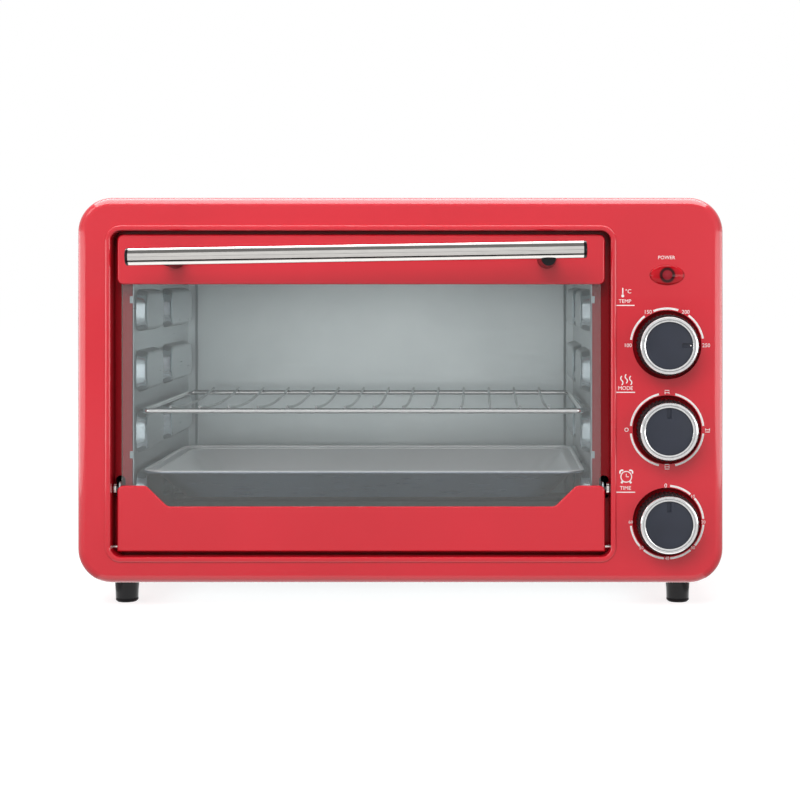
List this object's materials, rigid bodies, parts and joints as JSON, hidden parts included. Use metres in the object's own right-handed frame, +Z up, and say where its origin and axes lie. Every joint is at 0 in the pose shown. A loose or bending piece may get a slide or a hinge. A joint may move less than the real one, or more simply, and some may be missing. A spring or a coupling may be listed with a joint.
{
  "type": "countertop electric oven",
  "caption": "Countertop electric oven with a drop-down glass door, wire rack, baking tray and three control knobs, for baking and roasting.",
  "frame": {"origin": "on the floor under the middle of the whole object", "axes": "+X to the right seen from the front, +Y to the back, +Z up; the door faces -Y"},
  "size_m": [0.4826, 0.3604, 0.3079],
  "materials": {
    "red_enamel": "gloss",
    "galvanised": "satin",
    "bright_steel": "polished",
    "chrome": "polished",
    "tray_steel": "satin",
    "clear_glass": "clear",
    "black_plastic": "gloss",
    "slate_plastic": "satin",
    "red_lens": "gloss",
    "neon_glass": "clear",
    "heater_steel": "dull",
    "ceramic": "matt",
    "spring_steel": "satin"
  },
  "bodies": {
    "chassis": {"front_frame": "red_enamel", "outer_casing": "red_enamel", "base_plate": "galvanised", "rear_panel": "galvanised", "cord_bush": "black_plastic", "cavity_left_wall": "galvanised", "cavity_right_wall": "galvanised", "cavity_back_wall": "galvanised", "cavity_roof": "galvanised", "cavity_floor": "galvanised", "upper_front_heater": "heater_steel", "upper_rear_heater": "heater_steel", "lower_front_heater": "heater_steel", "lower_rear_heater": "heater_steel", "heater_ceramics": "ceramic", "front_feet": "black_plastic", "rear_feet": "black_plastic", "foot_screws": "spring_steel", "casing_screws": "spring_steel", "heat_shield": "galvanised", "thermostat_body": "galvanised", "selector_body": "black_plastic", "timer_body": "galvanised", "lamp_lens": "red_lens", "neon_lamp": "neon_glass", "door_springs": "spring_steel", "spring_anchors": "galvanised"},
    "door": {"door_top_rail": "red_enamel", "door_bottom_rail": "red_enamel", "door_glass": "clear_glass", "upper_glass_clamp": "galvanised", "lower_glass_clamp": "galvanised", "door_bracket_left": "galvanised", "door_bracket_right": "galvanised", "hinge_pins": "bright_steel", "arm_rivets": "bright_steel", "handle_tube": "bright_steel", "handle_caps": "black_plastic", "handle_standoff_left": "black_plastic", "handle_standoff_right": "black_plastic", "handle_screws": "spring_steel"},
    "door_arm_left": {"door_arm_left": "bright_steel"},
    "door_arm_right": {"door_arm_right": "bright_steel"},
    "rack": {"rack_frame": "chrome", "rack_wires": "chrome"},
    "baking_tray": {"baking_tray": "tray_steel"},
    "thermostat_knob": {"thermostat_knob_skirt": "black_plastic", "thermostat_knob_ring": "chrome", "thermostat_knob_cap": "slate_plastic", "thermostat_spindle": "spring_steel"},
    "selector_knob": {"selector_knob_skirt": "black_plastic", "selector_knob_ring": "chrome", "selector_knob_cap": "slate_plastic", "selector_spindle": "spring_steel"},
    "timer_knob": {"timer_knob_skirt": "black_plastic", "timer_knob_ring": "chrome", "timer_knob_cap": "slate_plastic", "timer_spindle": "spring_steel"}
  },
  "joints": [
    {"name": "door_hinge", "type": "hinge", "parent": "chassis", "child": "door", "pos_m": [-0.0293, -0.13232, 0.04625], "axis": [1, 0, 0], "range_deg": [0, 90], "stiffness_Nm_per_rad": 0.6, "springref_deg": -20.05},
    {"name": "arm_left_pivot", "type": "hinge", "parent": "door", "child": "door_arm_left", "pos_m": [-0.214, -0.13032, 0.08985], "axis": [1, 0, 0], "range_deg": [-52, 0]},
    {"name": "arm_right_pivot", "type": "hinge", "parent": "door", "child": "door_arm_right", "pos_m": [0.1554, -0.13032, 0.08985], "axis": [1, 0, 0], "range_deg": [-52, 0]},
    {"name": "rack_slide", "type": "slide", "parent": "chassis", "child": "rack", "axis": [0, -1, 0], "range_m": [0, 0.158]},
    {"name": "tray_slide", "type": "slide", "parent": "chassis", "child": "baking_tray", "axis": [0, -1, 0], "range_m": [0, 0.079]},
    {"name": "thermostat_turn", "type": "hinge", "parent": "chassis", "child": "thermostat_knob", "pos_m": [0.199, -0.13842, 0.1981], "axis": [0, 1, 0], "range_deg": [-180, 0]},
    {"name": "selector_turn", "type": "hinge", "parent": "chassis", "child": "selector_knob", "pos_m": [0.199, -0.13842, 0.1348], "axis": [0, 1, 0], "range_deg": [-90, 180]},
    {"name": "timer_turn", "type": "hinge", "parent": "chassis", "child": "timer_knob", "pos_m": [0.199, -0.13842, 0.06595], "axis": [0, 1, 0], "range_deg": [0, 270]}
  ],
  "couplings": [
    {"joint": "arm_left_pivot", "follows": "door_hinge", "ratio": -0.57},
    {"joint": "arm_right_pivot", "follows": "door_hinge", "ratio": -0.57},
    {"joint": "rack_slide", "follows": "door_hinge", "m_per_rad": 0.1},
    {"joint": "tray_slide", "follows": "door_hinge", "m_per_rad": 0.05}
  ]
}
